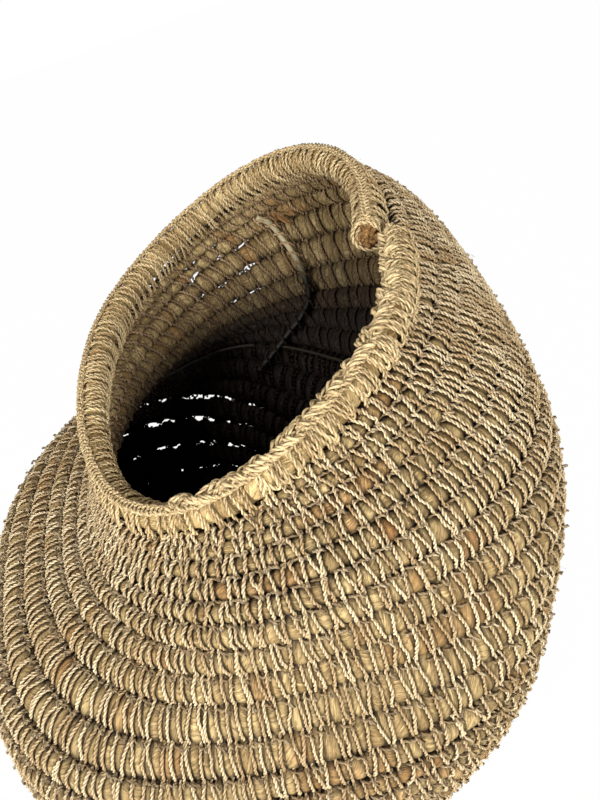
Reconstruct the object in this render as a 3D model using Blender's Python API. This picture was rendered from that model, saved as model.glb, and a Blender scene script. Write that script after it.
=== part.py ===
# Belly basket: a coiled basket of leaf-bundle core, sewn with twine, whose neck has slumped to one side.
# One spiral runs from the middle of the base up the wall. It is made in four spliced lengths, and each
# length is a separate solid. The mouth leans, so the last rows under the rim are short: they taper out
# where the rim is low. The rim is an extra core in its own wrapping, with a gap where the core's two ends
# meet. Inside, a cane rib is lashed to the wall and a thin cane hoop lies in the throat.
# Metres, +Z up, origin under the middle of the base.

import math

import bmesh
import bpy
from mathutils import Vector

# Driving dimensions
base_radius = 0.111
belly_radius = 0.1488
mouth_radius = 0.1113
wall_height = 0.2658
base_centre_x = -0.0288
base_centre_y = -0.0092
shoulder_lean = 0.079
mouth_setback = 0.0345
rim_wave = 0.0037
core_thickness = 0.013
lap_clearance = 0.0006
splice_gap = 0.0004
least_core_width = 0.0035
start_hole_radius = 0.0015
rim_core_radius = 0.0063
wrapping_thickness = 0.0028
seat_clearance = 0.0003
wrapping_gap = 0.010
core_end_gap = 0.003
rib_radius = 0.0019
lashing_radius = 0.0008
hoop_radius = 0.0011

# Angles in degrees, counted from +X as seen from above
mouth_side_tilt = -17.1
mouth_front_tilt = -15.2
mouth_oval_angle = 69.6
belly_oval_angle = -48.0
belly_corner_angle = -17.0
rib_angle = 78.0
rim_end_angle = 349.0

# Counts
base_laps = 9
wall_laps = 22
points_per_lap = 20
wrapping_sides = 8
cane_sides = 6
lashing_sides = 5
lashing_turns = 6

# Shares along the wall, at even steps from the base to the rim
swell_shares = (0.0, 0.715, 0.875)
taper_shares = (1.0, 0.73, 0.455, 0.36, 0.0)
height_shares = (0.0, 0.158, 0.340, 0.524, 0.669, 0.787, 0.916, 1.0)
lean_shares = (0.0, 0.0, -0.04, 0.065, 0.575, 0.90, 0.905, 0.725)
setback_shares = (0.0, -0.085, -0.305, -0.25, 0.03, 0.215, 0.96, 1.0)
side_tilt_shares = (0.0, -0.055, -0.16, -0.31, -0.08, 0.30, 0.60, 1.0)
front_tilt_shares = (0.0, 0.275, 0.57, 0.81, 0.73, 0.51, 0.80, 1.0)
oval_shares = (0.0, 0.0, 0.0, 0.0, 0.05, 0.39, 0.80, 1.0)
belly_shares = (0.0, 0.20, 0.85, 1.0, 0.75, 0.25, 0.0, 0.0)
flat_share = 0.32
mouth_oval_share = 0.145
belly_oval_share = 0.150
belly_corner_share = 0.105

# Where the lengths of core start and are spliced, in laps from the middle of the base. The neck ends, and
# each short row starts, at the angle where the rim is lowest.
first_lap = -0.1
base_end_lap = 9.25
belly_end_lap = 20.0
shoulder_end_lap = 26.0
neck_end_lap = 27.65
short_rows = 3
rib_top_lap = 29.0
rib_foot_lap = 20.0
lashing_step = 2
throat_share = 0.56

colours = {
    "base_coil": ((0.40, 0.29, 0.15, 1.0), 0.85),
    "belly_coil": ((0.52, 0.39, 0.21, 1.0), 0.85),
    "shoulder_coil": ((0.55, 0.42, 0.23, 1.0), 0.85),
    "neck_coil": ((0.50, 0.37, 0.20, 1.0), 0.85),
    "short_row": ((0.53, 0.40, 0.22, 1.0), 0.85),
    "rim_core": ((0.34, 0.20, 0.09, 1.0), 0.80),
    "rim_wrapping": ((0.62, 0.49, 0.29, 1.0), 0.85),
    "inner_rib": ((0.45, 0.38, 0.22, 1.0), 0.55),
    "rib_lashing": ((0.60, 0.48, 0.29, 1.0), 0.85),
    "throat_hoop": ((0.42, 0.38, 0.20, 1.0), 0.55),
}

rim_radius = rim_core_radius + wrapping_thickness + seat_clearance
start_angle = math.radians(rib_angle + 180.0 / points_per_lap)
lashing_ring_radius = (rib_radius + lashing_radius + seat_clearance) / math.cos(math.pi / lashing_turns)
wall_radii = [base_radius + (belly_radius - base_radius) * share for share in swell_shares]
wall_radii += [mouth_radius + (belly_radius - mouth_radius) * share for share in taper_shares]


def clear_scene():
    for item in list(bpy.data.objects):
        bpy.data.objects.remove(item, do_unlink=True)


# A smooth curve through evenly spaced values, read at a share of its length
def between(values, share):
    place = min(max(share, 0.0), 1.0) * (len(values) - 1)
    index = min(int(place), len(values) - 2)
    along = place - index
    before = values[index - 1] if index > 0 else 2 * values[0] - values[1]
    start = values[index]
    end = values[index + 1]
    after = values[index + 2] if index + 2 < len(values) else 2 * values[-1] - values[-2]
    bend = 2 * before - 5 * start + 4 * end - after
    twist = 3 * start - before - 3 * end + after
    return 0.5 * (2 * start + (end - before) * along + bend * along ** 2 + twist * along ** 3)


# The middle of the wall's thickness, at a share of the way up and an angle round
def wall_point(share, angle):
    radius = between(wall_radii, share)
    oval = between(oval_shares, share)
    belly = between(belly_shares, share)
    side = math.sin(math.radians(mouth_side_tilt) * between(side_tilt_shares, share))
    front = math.sin(math.radians(mouth_front_tilt) * between(front_tilt_shares, share))
    normal = Vector((side, front, math.sqrt(1.0 - side ** 2 - front ** 2)))
    across = Vector((normal.z, 0.0, -normal.x)).normalized()
    back = normal.cross(across)
    centre = Vector((
        base_centre_x + shoulder_lean * between(lean_shares, share),
        base_centre_y + mouth_setback * between(setback_shares, share),
        core_thickness / 2 + wall_height * between(height_shares, share),
    ))
    swelling = mouth_oval_share * oval * math.cos(2 * (angle - math.radians(mouth_oval_angle)))
    swelling += belly_oval_share * belly * math.cos(2 * (angle - math.radians(belly_oval_angle)))
    swelling += belly_corner_share * belly * math.cos(3 * (angle - math.radians(belly_corner_angle)))
    radius *= 1.0 + swelling
    rise = rim_wave * oval * math.sin(3 * angle)
    return centre + across * (radius * math.cos(angle)) + back * (radius * math.sin(angle)) + normal * rise


def lap_share(lap):
    return (lap - base_laps) / wall_laps


# The same surface by laps: flat out to the edge of the base, then up the wall
def lap_point(lap, angle):
    if lap <= base_laps:
        radius = base_radius * lap / base_laps
        spoke = Vector((math.cos(angle), math.sin(angle), 0.0)) * radius
        return Vector((base_centre_x, base_centre_y, core_thickness / 2)) + spoke
    return wall_point(lap_share(lap), angle)


# A point in the middle of the rim, and the rim's direction there
def rim_line(angle):
    step = math.radians(2.0)
    tangent = (wall_point(1.0, angle + step) - wall_point(1.0, angle - step)).normalized()
    return wall_point(1.0, angle), tangent


# The last rows narrow to wedges where the rim is low, because they can't pass the rim's underside
def top_share(angle):
    rim, tangent = rim_line(angle)
    low, high = 0.6, 1.0
    for _ in range(30):
        middle = (low + high) / 2
        offset = wall_point(middle, angle) - rim
        if (offset - tangent * offset.dot(tangent)).length > rim_radius + 2 * seat_clearance:
            low = middle
        else:
            high = middle
    return low


def edge_point(lap, angle):
    if lap > belly_end_lap:
        share = min(lap_share(lap), top_share(angle))
        return wall_point(share, angle)
    return lap_point(max(lap, base_laps * start_hole_radius / base_radius), angle)


def lap_angle(lap):
    return start_angle - math.tau * lap


# The two edges of the core where it crosses one angle, with the clearance to the laps beside it
def core_edges(lap):
    angle = lap_angle(lap)
    lower = edge_point(lap - 0.5, angle)
    upper = edge_point(lap + 0.5, angle)
    width = (upper - lower).length
    if width < least_core_width:
        return None
    inset = (upper - lower).normalized() * lap_clearance / 2
    return lower + inset, upper - inset


# A six-sided section: points towards the laps beside it, flats inside and outside
def core_section(lap, shift):
    edges = core_edges(lap)
    if edges is None:
        return None
    lower, upper = edges
    middle = (lower + upper) / 2
    step = 1.0 / points_per_lap
    tangent = (lap_point(lap + step, lap_angle(lap + step)) - lap_point(lap - step, lap_angle(lap - step)))
    along = (upper - lower).normalized()
    outward = along.cross(tangent).normalized()
    half_flat = (upper - lower) * flat_share / 2
    half_depth = outward * core_thickness / 2
    ring = [
        lower,
        middle - half_flat + half_depth,
        middle + half_flat + half_depth,
        upper,
        middle + half_flat - half_depth,
        middle - half_flat - half_depth,
    ]
    move = tangent.normalized() * shift
    return [point + move for point in ring]


# Joins rings of points into one closed tube, capped at its ends or run round into itself
def sweep(name, rings, closed=False):
    mesh = bpy.data.meshes.new(name)
    form = bmesh.new()
    loops = [[form.verts.new(point) for point in ring] for ring in rings]
    count = len(loops[0])
    followers = loops[1:] + loops[:1] if closed else loops[1:]
    for ring, following in zip(loops, followers):
        for side in range(count):
            other = (side + 1) % count
            form.faces.new((ring[side], ring[other], following[other], following[side]))
    if not closed:
        form.faces.new(list(reversed(loops[0])))
        form.faces.new(loops[-1])
    bmesh.ops.recalc_face_normals(form, faces=form.faces)
    form.to_mesh(mesh)
    form.free()
    return place(name, mesh)


def place(name, mesh):
    colour, roughness = colours[name.rstrip("_0123456789")]
    material = bpy.data.materials.new(name + "_finish")
    material.use_nodes = True
    shader = material.node_tree.nodes["Principled BSDF"]
    shader.inputs["Base Color"].default_value = colour
    shader.inputs["Roughness"].default_value = roughness
    shader.inputs["Metallic"].default_value = 0.0
    material.diffuse_color = colour
    mesh.materials.append(material)
    mesh.shade_smooth()
    mesh.set_sharp_from_angle(angle=math.radians(50.0))
    item = bpy.data.objects.new(name, mesh)
    bpy.context.scene.collection.objects.link(item)
    return item


# Sections by their place along the spiral, up to where the core would be too narrow to go on
def core_sections(from_lap, to_lap):
    first = round(from_lap * points_per_lap)
    last = round(to_lap * points_per_lap)
    sections = {}
    for index in range(first, last + 1):
        shift = splice_gap if index == first and from_lap > first_lap else 0.0
        section = core_section(index / points_per_lap, shift)
        if section is not None:
            sections[index] = section
        elif len(sections) > 1:
            break
        else:
            sections = {}
    return sections


def make_coil(name, from_lap, to_lap):
    sections = core_sections(from_lap, to_lap)
    sweep(name, list(sections.values()))
    return sections


# The least gap between a length of core and the laps one turn above it, along facing edges
def least_gap(sections):
    gap = belly_radius
    for index, section in sections.items():
        above = sections.get(index + points_per_lap)
        if above is not None:
            gap = min(gap, (above[0] - section[3]).length)
    return gap


# Two directions across the rim: down to the lap it sits on, and outwards
def rim_frame(angle):
    centre, tangent = rim_line(angle)
    down = wall_point(top_share(angle), angle) - centre
    down = (down - tangent * down.dot(tangent)).normalized()
    return centre, tangent, down, tangent.cross(down)


def circle(centre, first, second, radius, sides):
    turns = [math.tau * (side + 0.5) / sides for side in range(sides)]
    return [centre + (first * math.cos(turn) + second * math.sin(turn)) * radius for turn in turns]


# Angles round the rim from one side of its gap to the other, on the same bearings as the core's points
def rim_angles(gap):
    half_gap = gap / 2 / mouth_radius
    first = math.radians(rim_end_angle) + half_gap
    last = math.radians(rim_end_angle) + math.tau - half_gap
    step = math.tau / points_per_lap
    spare = step / 4
    angles = [first]
    bearing = start_angle
    while bearing < last - spare:
        if bearing > first + spare:
            angles.append(bearing)
        bearing += step
    return angles + [last]


def rim_rings(gap, radius, sides):
    rings = []
    for angle in rim_angles(gap):
        centre, _, down, outward = rim_frame(angle)
        rings.append(circle(centre, down, outward, radius, sides))
    return rings


def make_rim_core():
    sweep("rim_core", rim_rings(core_end_gap, rim_core_radius, cane_sides + 2))


# The wrapping is a tube round the rim core, open at both ends
def make_wrapping():
    inner_radius = rim_core_radius + seat_clearance
    outer = rim_rings(wrapping_gap, inner_radius + wrapping_thickness, wrapping_sides)
    inner = rim_rings(wrapping_gap, inner_radius, wrapping_sides)
    mesh = bpy.data.meshes.new("rim_wrapping")
    form = bmesh.new()
    skins = [[[form.verts.new(point) for point in ring] for ring in rings] for rings in (outer, inner)]
    for skin in skins:
        for ring, following in zip(skin, skin[1:]):
            for side in range(wrapping_sides):
                other = (side + 1) % wrapping_sides
                form.faces.new((ring[side], ring[other], following[other], following[side]))
    for end in (0, -1):
        for side in range(wrapping_sides):
            other = (side + 1) % wrapping_sides
            form.faces.new((skins[0][end][side], skins[0][end][other],
                            skins[1][end][other], skins[1][end][side]))
    bmesh.ops.recalc_face_normals(form, faces=form.faces)
    form.to_mesh(mesh)
    form.free()
    place("rim_wrapping", mesh)


# The middle of the wall's inside face at the rib's angle, halfway between two of the core's points
def inside_face(lap):
    step = 0.5 / points_per_lap
    before = core_section(lap - step, 0.0)
    after = core_section(lap + step, 0.0)
    corners = before[4:6] + after[4:6]
    crest = sum(corners, Vector()) / len(corners)
    backs = before[1:3] + after[1:3]
    inward = (crest - sum(backs, Vector()) / len(backs)).normalized()
    along = ((before[4] + after[4]) - (before[5] + after[5])).normalized()
    return crest, inward, along


def rib_points():
    stand_off = lashing_ring_radius + lashing_radius + seat_clearance
    points = []
    for lap in range(int(rib_foot_lap), int(rib_top_lap) + 1):
        crest, inward, along = inside_face(lap + 0.5 / points_per_lap)
        points.append((crest + inward * stand_off, inward, along))
    return points


def make_rib():
    rings = []
    points = rib_points()
    for index, (point, inward, _) in enumerate(points):
        ahead = points[min(index + 1, len(points) - 1)][0]
        behind = points[max(index - 1, 0)][0]
        tangent = (ahead - behind).normalized()
        side = tangent.cross(inward).normalized()
        rings.append(circle(point, side, side.cross(tangent), rib_radius, cane_sides))
    sweep("inner_rib", rings)


# Each lashing is a ring of twine round the rib, between it and the lap behind it
def make_lashings():
    points = rib_points()
    for number, index in enumerate(range(1, len(points) - 1, lashing_step), start=1):
        centre, inward, _ = points[index]
        tangent = (points[index + 1][0] - points[index - 1][0]).normalized()
        side = tangent.cross(inward).normalized()
        depth = side.cross(tangent)
        rings = []
        for turn in range(lashing_turns):
            angle = math.tau * (turn + 0.5) / lashing_turns
            spoke = side * math.cos(angle) + depth * math.sin(angle)
            rings.append(circle(centre + spoke * lashing_ring_radius, spoke, tangent, lashing_radius, lashing_sides))
        sweep("rib_lashing_%d" % number, rings, closed=True)


# The hoop lies against the inside of the wall, and its two ends meet the rib from either side
def make_hoop():
    step = math.tau / points_per_lap
    depth = core_thickness / 2 + 3 * seat_clearance + hoop_radius
    middle = math.radians(rib_angle)
    half_gap = (rib_radius + lashing_radius + seat_clearance + hoop_radius) / mouth_radius
    angles = [middle + half_gap]
    angles += [start_angle + step * index for index in range(points_per_lap)]
    angles += [middle + math.tau - half_gap]
    rings = []
    for angle in angles:
        point = wall_point(throat_share, angle)
        ahead = wall_point(throat_share, angle + step / 2)
        behind = wall_point(throat_share, angle - step / 2)
        tangent = (ahead - behind).normalized()
        above = wall_point(throat_share + 0.5 / wall_laps, angle)
        below = wall_point(throat_share - 0.5 / wall_laps, angle)
        inward = (above - below).cross(tangent).normalized()
        centre = point + inward * depth
        rings.append(circle(centre, inward, tangent.cross(inward), hoop_radius, cane_sides))
    sweep("throat_hoop", rings)


def main():
    clear_scene()
    sections = make_coil("base_coil", first_lap, base_end_lap)
    sections.update(make_coil("belly_coil", base_end_lap, belly_end_lap))
    sections.update(make_coil("shoulder_coil", belly_end_lap, shoulder_end_lap))
    sections.update(make_coil("neck_coil", shoulder_end_lap, neck_end_lap))
    for row in range(short_rows):
        start = neck_end_lap + row
        sections.update(make_coil("short_row_%d" % (row + 1), start, start + 1.0))
    make_rim_core()
    make_wrapping()
    make_rib()
    make_lashings()
    make_hoop()
    print("laps of core: %.2f" % (len(sections) / points_per_lap))
    print("least gap between laps: %.2f mm" % (least_gap(sections) * 1000))


main()
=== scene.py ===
import math

import bpy
import numpy as np
from mathutils import Matrix, Vector


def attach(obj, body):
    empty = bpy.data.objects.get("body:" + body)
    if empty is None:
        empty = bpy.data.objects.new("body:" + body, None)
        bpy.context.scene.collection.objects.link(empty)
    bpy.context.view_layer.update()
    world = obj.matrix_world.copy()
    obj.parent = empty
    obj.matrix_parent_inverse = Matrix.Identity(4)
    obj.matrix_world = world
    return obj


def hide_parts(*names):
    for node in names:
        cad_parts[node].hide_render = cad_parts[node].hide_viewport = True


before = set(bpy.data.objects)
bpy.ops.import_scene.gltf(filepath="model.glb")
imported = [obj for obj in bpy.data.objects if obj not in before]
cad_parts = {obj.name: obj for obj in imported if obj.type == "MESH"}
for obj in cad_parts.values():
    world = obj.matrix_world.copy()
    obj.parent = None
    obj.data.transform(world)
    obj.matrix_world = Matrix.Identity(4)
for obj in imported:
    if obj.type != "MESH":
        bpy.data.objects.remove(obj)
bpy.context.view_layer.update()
rng = np.random.default_rng(11)
print("frame loaded:", len(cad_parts), "nodes")

# Shape of the basket: the same surface as the CAD part, as shares up the wall and angles round it
shape = {
    "baseCentre": (-0.0288, -0.0092),
    "baseRadius": 0.111,
    "bellyRadius": 0.1488,
    "mouthRadius": 0.1113,
    "wallHeight": 0.2658,
    "lean": 0.079,
    "setback": 0.0345,
    "rimWave": 0.0037,
    "coreThickness": 0.013,
    "sideTilt": -17.1,
    "frontTilt": -15.2,
    "mouthOvalAngle": 69.6,
    "mouthOval": 0.145,
    "bellyOvalAngle": -48.0,
    "bellyOval": 0.150,
    "bellyCornerAngle": -17.0,
    "bellyCorner": 0.105,
    "startAngle": 87.0,
    "baseLaps": 9,
    "wallLaps": 22,
    "rimSeat": 0.0100,  # from the middle of the rim to the top of the last row
    "ribAngle": 78.0,
    "firstLap": 0.107,
    "squeezedLap": 20.0,  # rows below this lap never meet the rim
    "lapStep": 0.02,  # half the way, in laps, that gives the direction of the coil
    "angleStep": 0.03,  # the same for the rim, as an angle
}
swellShares = (0.0, 0.715, 0.875)
taperShares = (1.0, 0.73, 0.455, 0.36, 0.0)
heightShares = (0.0, 0.158, 0.340, 0.524, 0.669, 0.787, 0.916, 1.0)
leanShares = (0.0, 0.0, -0.04, 0.065, 0.575, 0.90, 0.905, 0.725)
setbackShares = (0.0, -0.085, -0.305, -0.25, 0.03, 0.215, 0.96, 1.0)
sideTiltShares = (0.0, -0.055, -0.16, -0.31, -0.08, 0.30, 0.60, 1.0)
frontTiltShares = (0.0, 0.275, 0.57, 0.81, 0.73, 0.51, 0.80, 1.0)
ovalShares = (0.0, 0.0, 0.0, 0.0, 0.05, 0.39, 0.80, 1.0)
bellyShares = (0.0, 0.20, 0.85, 1.0, 0.75, 0.25, 0.0, 0.0)
wallRadii = [shape["baseRadius"] + (shape["bellyRadius"] - shape["baseRadius"]) * s for s in swellShares]
wallRadii += [shape["mouthRadius"] + (shape["bellyRadius"] - shape["mouthRadius"]) * s for s in taperShares]


def between(values, share):
    v = np.asarray(values, float)
    padded = np.concatenate(([2 * v[0] - v[1]], v, [2 * v[-1] - v[-2]]))
    place = np.clip(share, 0.0, 1.0) * (len(v) - 1)
    index = np.minimum(place.astype(int), len(v) - 2)
    a = place - index
    p0, p1, p2, p3 = padded[index], padded[index + 1], padded[index + 2], padded[index + 3]
    return 0.5 * (2 * p1 + (p2 - p0) * a + (2 * p0 - 5 * p1 + 4 * p2 - p3) * a ** 2
                  + (3 * p1 - p0 - 3 * p2 + p3) * a ** 3)


def unit(v):
    return v / np.maximum(np.linalg.norm(v, axis=-1, keepdims=True), 1e-12)


# A direction without its share along the tangent, at unit length
def squared(v, tangent):
    return unit(v - tangent * (v * tangent).sum(-1, keepdims=True))


# Places moved along directions; amounts with one more axis give each place a row of points
def moved(places, *terms):
    for directions, amounts in terms:
        if places.ndim == amounts.ndim:
            places = places[..., None, :]
        if directions.ndim == amounts.ndim:
            directions = directions[..., None, :]
        places = places + directions * amounts[..., None]
    return places


def hump(x, width, power=2):
    return np.exp(-(x / width) ** power)


def wallPoint(share, angle):
    share, angle = np.broadcast_arrays(np.asarray(share, float), np.asarray(angle, float))
    oval, belly = between(ovalShares, share), between(bellyShares, share)
    nx = np.sin(np.radians(shape["sideTilt"]) * between(sideTiltShares, share))
    ny = np.sin(np.radians(shape["frontTilt"]) * between(frontTiltShares, share))
    nz = np.sqrt(1.0 - nx ** 2 - ny ** 2)
    normal = np.stack([nx, ny, nz], -1)
    across = unit(np.stack([nz, np.zeros_like(nz), -nx], -1))
    centre = np.stack([
        shape["baseCentre"][0] + shape["lean"] * between(leanShares, share),
        shape["baseCentre"][1] + shape["setback"] * between(setbackShares, share),
        shape["coreThickness"] / 2 + shape["wallHeight"] * between(heightShares, share)], -1)
    swelling = 0.0
    for name, amount, waves in (("mouthOval", oval, 2), ("bellyOval", belly, 2), ("bellyCorner", belly, 3)):
        swelling = swelling + shape[name] * amount * np.cos(waves * (angle - np.radians(shape[name + "Angle"])))
    radius = between(wallRadii, share) * (1.0 + swelling)
    return moved(centre, (across, radius * np.cos(angle)), (np.cross(normal, across), radius * np.sin(angle)),
                 (normal, shape["rimWave"] * oval * np.sin(3 * angle)))


def lapPoint(lap, angle):
    lap, angle = np.broadcast_arrays(np.asarray(lap, float), np.asarray(angle, float))
    radius = shape["baseRadius"] * np.maximum(lap, 0.0) / shape["baseLaps"]
    disc = np.stack([shape["baseCentre"][0] + radius * np.cos(angle),
                     shape["baseCentre"][1] + radius * np.sin(angle),
                     np.full_like(radius, shape["coreThickness"] / 2)], -1)
    wall = wallPoint((lap - shape["baseLaps"]) / shape["wallLaps"], angle)
    return np.where((lap <= shape["baseLaps"])[..., None], disc, wall)


def rimLine(angle):
    top, step = np.ones_like(angle), shape["angleStep"]
    return wallPoint(top, angle), unit(wallPoint(top, angle + step) - wallPoint(top, angle - step))


# How far up the wall goes at each angle before it meets the underside of the rim
def rimSeats():
    angle = np.linspace(0, 2 * np.pi, 721)
    rim, tangent = rimLine(angle)
    low, high = np.full_like(angle, 0.6), np.ones_like(angle)
    for _ in range(30):
        middle = (low + high) / 2
        offset = wallPoint(middle, angle) - rim
        offset -= tangent * (offset * tangent).sum(-1, keepdims=True)
        clear = np.linalg.norm(offset, axis=-1) > shape["rimSeat"]
        low, high = np.where(clear, middle, low), np.where(clear, high, middle)
    return angle, low


seatAngles, seatShares = rimSeats()


def topLap(angle):
    share = np.interp(np.mod(angle, 2 * np.pi), seatAngles, seatShares)
    return shape["baseLaps"] + shape["wallLaps"] * share


def coilAngle(lap):
    return math.radians(shape["startAngle"]) - 2 * np.pi * lap


# Everything a piece needs to sit on the coil: middle, directions and the row's height there
def coilFrame(lap):
    lap = np.asarray(lap, float)
    angle = coilAngle(lap)
    limit = np.where(lap > shape["squeezedLap"], topLap(angle), np.inf)
    lower = lapPoint(np.minimum(np.maximum(lap - 0.5, shape["firstLap"]), limit), angle)
    upper = lapPoint(np.minimum(lap + 0.5, limit), angle)
    step = shape["lapStep"]
    ahead = lapPoint(lap + step, coilAngle(lap + step)) - lapPoint(lap - step, coilAngle(lap - step))
    tangent = unit(ahead)
    up = upper - lower
    height = np.linalg.norm(up, axis=-1)
    fallback = lapPoint(np.minimum(lap, limit), angle) - lapPoint(np.minimum(lap, limit) - 0.5, angle)
    up = squared(np.where((height > 0.0005)[..., None], up, fallback), tangent)
    return {"lap": lap, "middle": (lower + upper) / 2, "up": up, "out": np.cross(up, tangent), "along": tangent,
            "height": height, "reach": np.linalg.norm(ahead, axis=-1) / (2 * step)}


def pick(rows, chosen):
    return {key: values[chosen] for key, values in rows.items()}


def smoothNoise(x, spacing, low=-1.0, high=1.0):
    x = np.asarray(x, float)
    start = x.min()
    count = int((x.max() - start) / spacing) + 3
    values = rng.uniform(low, high, count)
    place = (x - start) / spacing
    index = place.astype(int)
    f = place - index
    f = f * f * (3 - 2 * f)
    return values[index] * (1 - f) + values[index + 1] * f


def smoothStep(x, start, end):
    t = np.clip((np.asarray(x, float) - start) / (end - start), 0.0, 1.0)
    return t * t * (3 - 2 * t)


def tubeFaces(tubes, rings, sides):
    first = np.arange(tubes)[:, None, None] * rings * sides
    ring = np.arange(rings - 1)[None, :, None]
    side = np.arange(sides)[None, None, :]
    other = (side + 1) % sides
    quads = np.stack([first + ring * sides + side, first + ring * sides + other,
                      first + (ring + 1) * sides + other, first + (ring + 1) * sides + side], -1).reshape(-1, 4)
    start = first[:, :, 0] + np.arange(sides)[None, ::-1]
    end = first[:, :, 0] + (rings - 1) * sides + np.arange(sides)[None, :]
    return [quads, np.concatenate([start, end])]


def addObject(name, data):
    item = bpy.data.objects.new(name, data)
    bpy.context.scene.collection.objects.link(item)
    return item


# Tubes from their points, which come as tubes, rings, sides and coordinates
def makePiece(name, points, attributes, material, nodes=()):
    faceSets = tubeFaces(*points.shape[:3])
    points = points.reshape(-1, 3)
    mesh = bpy.data.meshes.new(name)
    mesh.vertices.add(len(points))
    mesh.vertices.foreach_set("co", np.ascontiguousarray(points, np.float32).ravel())
    loops = np.concatenate([f.ravel() for f in faceSets]).astype(np.int32)
    sizes = np.concatenate([np.full(len(f), f.shape[1]) for f in faceSets])
    starts = np.concatenate([[0], np.cumsum(sizes)[:-1]]).astype(np.int32)
    mesh.loops.add(len(loops))
    mesh.loops.foreach_set("vertex_index", loops)
    mesh.polygons.add(len(sizes))
    mesh.polygons.foreach_set("loop_start", starts)
    mesh.polygons.foreach_set("use_smooth", np.ones(len(sizes), bool))
    mesh.update(calc_edges=True)
    mesh.validate()
    for key, values in attributes.items():
        channel = mesh.attributes.new(key, "FLOAT_VECTOR", "POINT")
        channel.data.foreach_set("vector", np.ascontiguousarray(values, np.float32).ravel())
    mesh.materials.append(materials[material])
    piece = addObject(name, mesh)
    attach(piece, "root")
    if nodes:
        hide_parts(*nodes)


# Three values per point, each spread over all rings and sides
def layer(full, *values):
    return np.stack([np.broadcast_to(v, full) for v in values], -1).reshape(-1, 3)


def lengthsAlong(paths):
    steps = np.linalg.norm(np.diff(paths, axis=-2), axis=-1)
    return np.concatenate([np.zeros_like(steps[..., :1]), np.cumsum(steps, -1)], -1)


def circle(sides):
    return np.arange(sides) * 2 * np.pi / sides


def tubeDirections(paths, facing):
    tangent = unit(np.gradient(paths, axis=1))
    normal = squared(facing, tangent)
    return normal, np.cross(tangent, normal)


# Twine: two plies twisted together, so its section is a figure of eight that turns as it goes; the second row marks
# the crests, and the finish paints shade where the plies meet
plies = {
    "fine": (np.array([1.0, 0.84, 0.42, 0.84, 1.0, 0.84, 0.42, 0.84]),
             np.array([1.0, 0.70, 0.0, 0.70, 1.0, 0.70, 0.0, 0.70])),
    "plain": (np.array([1.0, 0.68, 0.68, 1.0, 0.68, 0.68]), np.array([1.0, 0.25, 0.25, 1.0, 0.25, 0.25])),
    "coarse": (np.array([1.0, 0.7, 1.0, 0.7]), np.array([1.0, 0.4, 1.0, 0.4])),
    "hair": (np.ones(3), np.ones(3)),
}
twist = {"pitch": 0.0050, "taper": 0.55, "lumps": 0.08, "lumpRate": 900.0}


def twinePiece(name, paths, facing, radius, tint, material, kind="plain", pitch=1.0, shade=0.0, nodes=()):
    profile, crest = plies[kind]
    tubes, rings, _ = paths.shape
    sides = len(profile)
    normal, binormal = tubeDirections(paths, facing)
    length = lengthsAlong(paths)
    turn = length / (twist["pitch"] * pitch) * 2 * np.pi + rng.uniform(0, 2 * np.pi, (tubes, 1))
    around = turn[..., None] + circle(sides)
    size = np.asarray(radius, float).reshape(-1, 1) * np.ones((1, rings))
    size = size * (1 + twist["lumps"] * np.sin(length * twist["lumpRate"] + rng.uniform(0, 6, (tubes, 1))))
    size[:, [0, -1]] *= twist["taper"]
    reach = size[..., None] * profile
    points = moved(paths, (normal, reach * np.cos(around)), (binormal, reach * np.sin(around)))
    # Painted shade per tube or per ring: 0 leaves the twine as it is, 1 gives it the full shade colour
    shades = np.asarray(shade, float)
    shades = shades if shades.ndim == 2 else shades.reshape(-1, 1)
    strand = layer(around.shape, shades[..., None], crest, np.asarray(tint, float).reshape(-1, 1, 1))
    makePiece(name, points, {"strand": strand}, material, nodes)


def leafPiece(name, paths, facing, radius, sides, material, flat=1.0, nodes=(), brown=0.5, shade=0.0):
    tubes, rings, _ = paths.shape
    normal, binormal = tubeDirections(paths, facing)
    phi = circle(sides)
    size = np.broadcast_to(np.asarray(radius, float), (tubes, rings))[..., None]
    points = moved(paths, (normal, size * flat * np.cos(phi)), (binormal, size * np.sin(phi)))
    full = points.shape[:3]
    each = rng.uniform(0, 1, (tubes, 1, 1))
    leaf = layer(full, lengthsAlong(paths)[..., None], size * phi, each * 0.2)
    brown = brown * rng.uniform(0, 1, (tubes, 1, 1))
    # The third tone value is painted shade
    tone = layer(full, each, brown, np.asarray(shade, float).reshape(1, -1, 1))
    makePiece(name, points, {"leaf": leaf, "tone": tone}, material, nodes)


# How much each control point of a smooth curve counts at each of its rings
def curveWeights(controls, count):
    return np.stack([between(row, np.linspace(0, 1, count)) for row in np.eye(controls)], 1)


def inFrame(rows, local):
    return moved(rows["middle"], *((rows[axis], local[..., k]) for k, axis in enumerate(("out", "up", "along"))))


def stackControls(items):
    return np.stack([np.stack(np.broadcast_arrays(*item), -1) for item in items], 1)


def linear(colour):
    return tuple(c / 12.92 if c <= 0.04045 else ((c + 0.055) / 1.055) ** 2.4 for c in colour) + (1.0,)


def addNode(tree, kind, inputs=(), **settings):
    node = tree.nodes.new("ShaderNode" + kind)
    for key, value in settings.items():
        setattr(node, key, value)
    for key, value in dict(inputs).items():
        if isinstance(value, (int, float, tuple)):
            node.inputs[key].default_value = value
        else:
            tree.links.new(value, node.inputs[key])
    return node


def mathNode(tree, operation, *values, clamp=False):
    return addNode(tree, "Math", enumerate(values), operation=operation, use_clamp=clamp).outputs[0]


def scaled(tree, value, factor, shift, clamp=False):
    return mathNode(tree, "MULTIPLY_ADD", value, factor, shift, clamp=clamp)


def mixColour(tree, factor, first, second, blend="MIX"):
    inputs = {0: factor, 6: first, 7: second}
    return addNode(tree, "Mix", inputs, data_type="RGBA", blend_type=blend).outputs[2]


def noiseNode(tree, vector, scale, detail, roughness=0.55):
    inputs = {"Scale": scale, "Detail": detail, "Roughness": roughness, "Vector": vector}
    return addNode(tree, "TexNoise", inputs).outputs["Fac"]


def positionOf(tree):
    return addNode(tree, "NewGeometry").outputs["Position"]


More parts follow.
